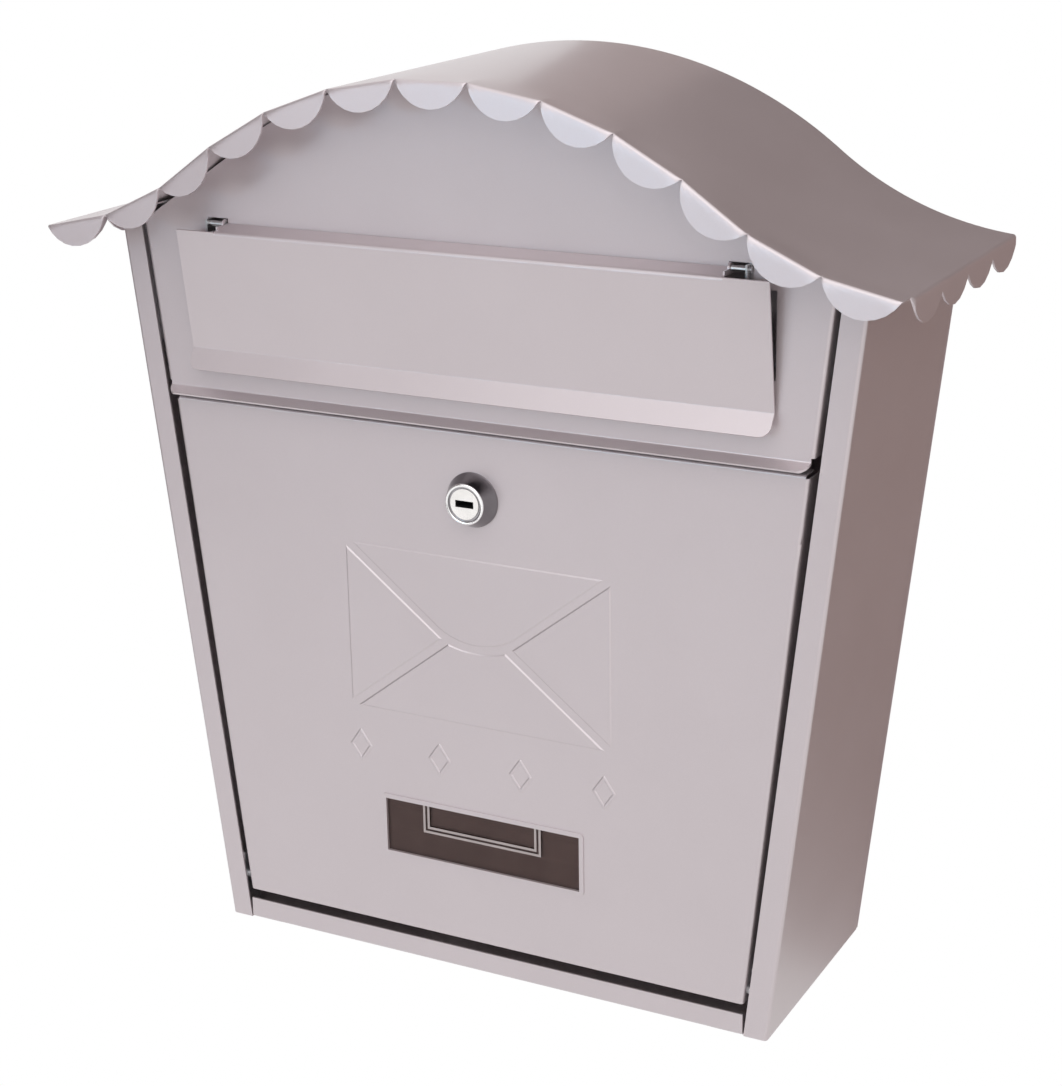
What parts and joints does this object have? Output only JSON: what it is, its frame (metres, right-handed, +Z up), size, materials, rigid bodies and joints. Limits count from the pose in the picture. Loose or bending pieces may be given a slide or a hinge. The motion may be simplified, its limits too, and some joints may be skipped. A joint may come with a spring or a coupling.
{
  "type": "wall mounted mailbox",
  "caption": "Tapered sheet-steel wall mailbox with a scalloped curved roof, lift-up letter flap, name window and a bottom-hinged lockable door.",
  "frame": {"origin": "centre of the four wall holes, in the wall plane", "axes": "+Y into the wall, +Z up, +X to the right seen from the front; the front faces -Y"},
  "size_m": [0.3632, 0.1314, 0.3744],
  "materials": {
    "silver_paint": "satin metallic silver paint",
    "plated_steel": "bright zinc plating",
    "lock_chrome": "polished chrome",
    "clear_plastic": "clear moulded plastic"
  },
  "bodies": {
    "box": {"back_panel": "silver_paint", "right_side_panel": "silver_paint", "left_side_panel": "silver_paint", "floor_panel": "silver_paint", "upper_front_panel": "silver_paint", "right_panel_bracket": "plated_steel", "left_panel_bracket": "plated_steel", "roof_sheet": "silver_paint", "right_roof_bracket": "plated_steel", "left_roof_bracket": "plated_steel", "right_flap_ear": "plated_steel", "left_flap_ear": "plated_steel", "right_door_hinge_bracket": "plated_steel", "left_door_hinge_bracket": "plated_steel", "lock_keeper": "plated_steel"},
    "door": {"door_panel": "silver_paint", "name_window": "clear_plastic", "window_clips": "plated_steel", "door_hinge_pins": "plated_steel", "lock_housing": "lock_chrome", "lock_washer": "plated_steel", "lock_nut": "plated_steel"},
    "lock_core": {"lock_plug": "lock_chrome", "lock_cam": "plated_steel", "cam_screw": "plated_steel"},
    "flap": {"letter_flap": "silver_paint", "flap_hinge_pins": "plated_steel"}
  },
  "joints": [
    {"name": "door_hinge", "type": "hinge", "parent": "box", "child": "door", "pos_m": [0, -0.101, -0.1465], "axis": [1, 0, 0], "range_deg": [0, 110]},
    {"name": "lock_turn", "type": "hinge", "parent": "door", "child": "lock_core", "pos_m": [0, -0.106, 0.0436], "axis": [0, 1, 0], "range_deg": [0, 90]},
    {"name": "flap_hinge", "type": "hinge", "parent": "box", "child": "flap", "pos_m": [0, -0.1079, 0.1449], "axis": [-1, 0, 0], "range_deg": [0, 75]}
  ]
}
